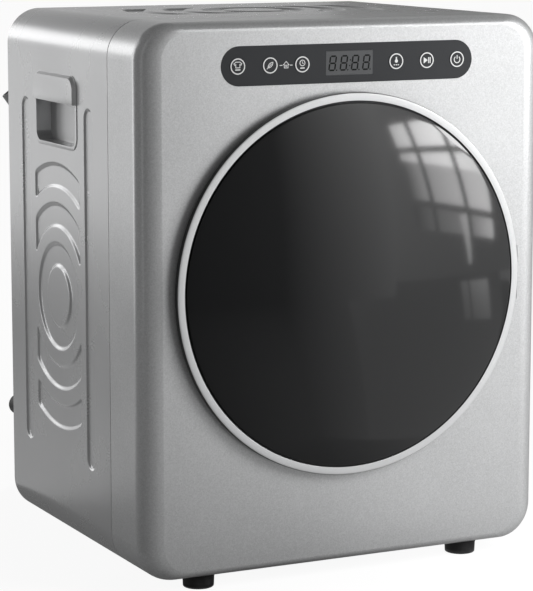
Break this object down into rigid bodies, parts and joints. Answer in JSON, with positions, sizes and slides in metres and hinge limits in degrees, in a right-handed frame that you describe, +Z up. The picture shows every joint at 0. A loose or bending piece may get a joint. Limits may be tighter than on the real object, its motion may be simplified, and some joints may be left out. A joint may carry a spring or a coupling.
{
  "type": "tumble dryer",
  "caption": "Compact front-loading tumble dryer: rounded silver cabinet, smoked porthole door, key strip with display, belt-driven drum and fan, rear exhaust spout.",
  "frame": {"origin": "on the floor under the middle of the whole depth, midway between the sides", "axes": "+Z up, -Y out of the front, +X to the right seen from the front"},
  "size_m": [0.4992, 0.5218, 0.613],
  "materials": {
    "silver_paint": "satin metallic paint",
    "silver_front": "fine metallic finish",
    "silver_trim": "satin metallic",
    "smoked": "polished smoked plastic",
    "black_plastic": "fine grain",
    "clear_bowl": "clear, polished",
    "fascia": "satin film",
    "key_cap": "satin",
    "display": "tinted window",
    "module": "moulded",
    "board": "solder mask",
    "grip": "fine metallic finish",
    "rubber": "moulded",
    "galvanised": "galvanised sheet",
    "steel": "zinc plated",
    "drum_steel": "brushed stainless",
    "grey_plastic": "moulded",
    "pale_plastic": "moulded",
    "felt": "pressed felt",
    "motor_metal": "cast",
    "heater_metal": "folded sheet"
  },
  "bodies": {
    "cabinet": {"cabinet_wrap": "silver_paint", "front_frame": "silver_front", "base_pan": "galvanised", "rear_panel": "galvanised", "left_grip": "grip", "right_grip": "grip", "front_left_foot": "rubber", "front_right_foot": "rubber", "rear_left_foot": "rubber", "rear_right_foot": "rubber", "foot_screws": "steel", "mains_gland": "black_plastic", "rear_spacers": "rubber", "panel_screws": "steel", "control_fascia": "fascia", "display_window": "display", "display_module": "module", "control_board": "board", "hinge_bracket": "steel", "hinge_pin": "steel", "door_latch": "black_plastic", "door_switch": "black_plastic", "front_collar": "pale_plastic", "front_felt": "felt", "rear_bulkhead": "galvanised", "rear_glide": "pale_plastic", "scroll_housing": "grey_plastic", "exhaust_spout": "grey_plastic", "fan_axle": "steel", "heater_housing": "heater_metal", "heater_element": "heater_metal", "thermal_cutouts": "steel", "motor_case": "motor_metal", "motor_cradle": "motor_metal", "drum_belt": "rubber", "fan_belt": "rubber", "motor_capacitor": "grey_plastic"},
    "door": {"door_ring": "silver_trim", "door_dome": "smoked", "door_body": "black_plastic", "door_bowl": "clear_bowl", "door_seal": "rubber", "door_screws": "steel", "door_strike": "black_plastic", "door_hinge_leaf": "steel"},
    "drum": {"drum_shell": "drum_steel", "drum_rear_wall": "drum_steel", "drum_lifters": "pale_plastic"},
    "motor_rotor": {"motor_shaft": "steel", "drum_drive_pulley": "grey_plastic", "fan_drive_pulley": "grey_plastic"},
    "fan": {"fan_wheel": "grey_plastic", "fan_pulley": "grey_plastic"},
    "filter": {"lint_filter": "grey_plastic"},
    "program_key": {"key_program": "key_cap"},
    "eco_key": {"key_eco": "key_cap"},
    "time_key": {"key_time": "key_cap"},
    "heat_key": {"key_heat": "key_cap"},
    "start_key": {"key_start": "key_cap"},
    "power_key": {"key_power": "key_cap"}
  },
  "joints": [
    {"name": "door_swing", "type": "hinge", "parent": "cabinet", "child": "door", "pos_m": [0.2095, -0.21887, 0.326], "axis": [0, 0, 1], "range_deg": [0, 115]},
    {"name": "drum_spin", "type": "hinge", "parent": "cabinet", "child": "drum", "pos_m": [0, -0.01487, 0.326], "axis": [0, 1, 0], "continuous": true},
    {"name": "motor_spin", "type": "hinge", "parent": "cabinet", "child": "motor_rotor", "pos_m": [0.165, -0.01487, 0.0868], "axis": [0, 1, 0], "continuous": true},
    {"name": "fan_spin", "type": "hinge", "parent": "cabinet", "child": "fan", "pos_m": [0, -0.01487, 0.326], "axis": [0, 1, 0], "continuous": true},
    {"name": "filter_pull", "type": "slide", "parent": "cabinet", "child": "filter", "axis": [0, -1, 0], "range_m": [0, 0.06]},
    {"name": "program_press", "type": "slide", "parent": "cabinet", "child": "program_key", "axis": [0, 1, 0], "range_m": [0, 0.0008], "stiffness_N_per_m": 400, "springref_m": -0.001},
    {"name": "eco_press", "type": "slide", "parent": "cabinet", "child": "eco_key", "axis": [0, 1, 0], "range_m": [0, 0.0008], "stiffness_N_per_m": 400, "springref_m": -0.001},
    {"name": "time_press", "type": "slide", "parent": "cabinet", "child": "time_key", "axis": [0, 1, 0], "range_m": [0, 0.0008], "stiffness_N_per_m": 400, "springref_m": -0.001},
    {"name": "heat_press", "type": "slide", "parent": "cabinet", "child": "heat_key", "axis": [0, 1, 0], "range_m": [0, 0.0008], "stiffness_N_per_m": 400, "springref_m": -0.001},
    {"name": "start_press", "type": "slide", "parent": "cabinet", "child": "start_key", "axis": [0, 1, 0], "range_m": [0, 0.0008], "stiffness_N_per_m": 400, "springref_m": -0.001},
    {"name": "power_press", "type": "slide", "parent": "cabinet", "child": "power_key", "axis": [0, 1, 0], "range_m": [0, 0.0008], "stiffness_N_per_m": 400, "springref_m": -0.001}
  ],
  "couplings": [
    {"joint": "motor_spin", "follows": "drum_spin", "ratio": 20.431},
    {"joint": "fan_spin", "follows": "drum_spin", "ratio": 10.597}
  ]
}
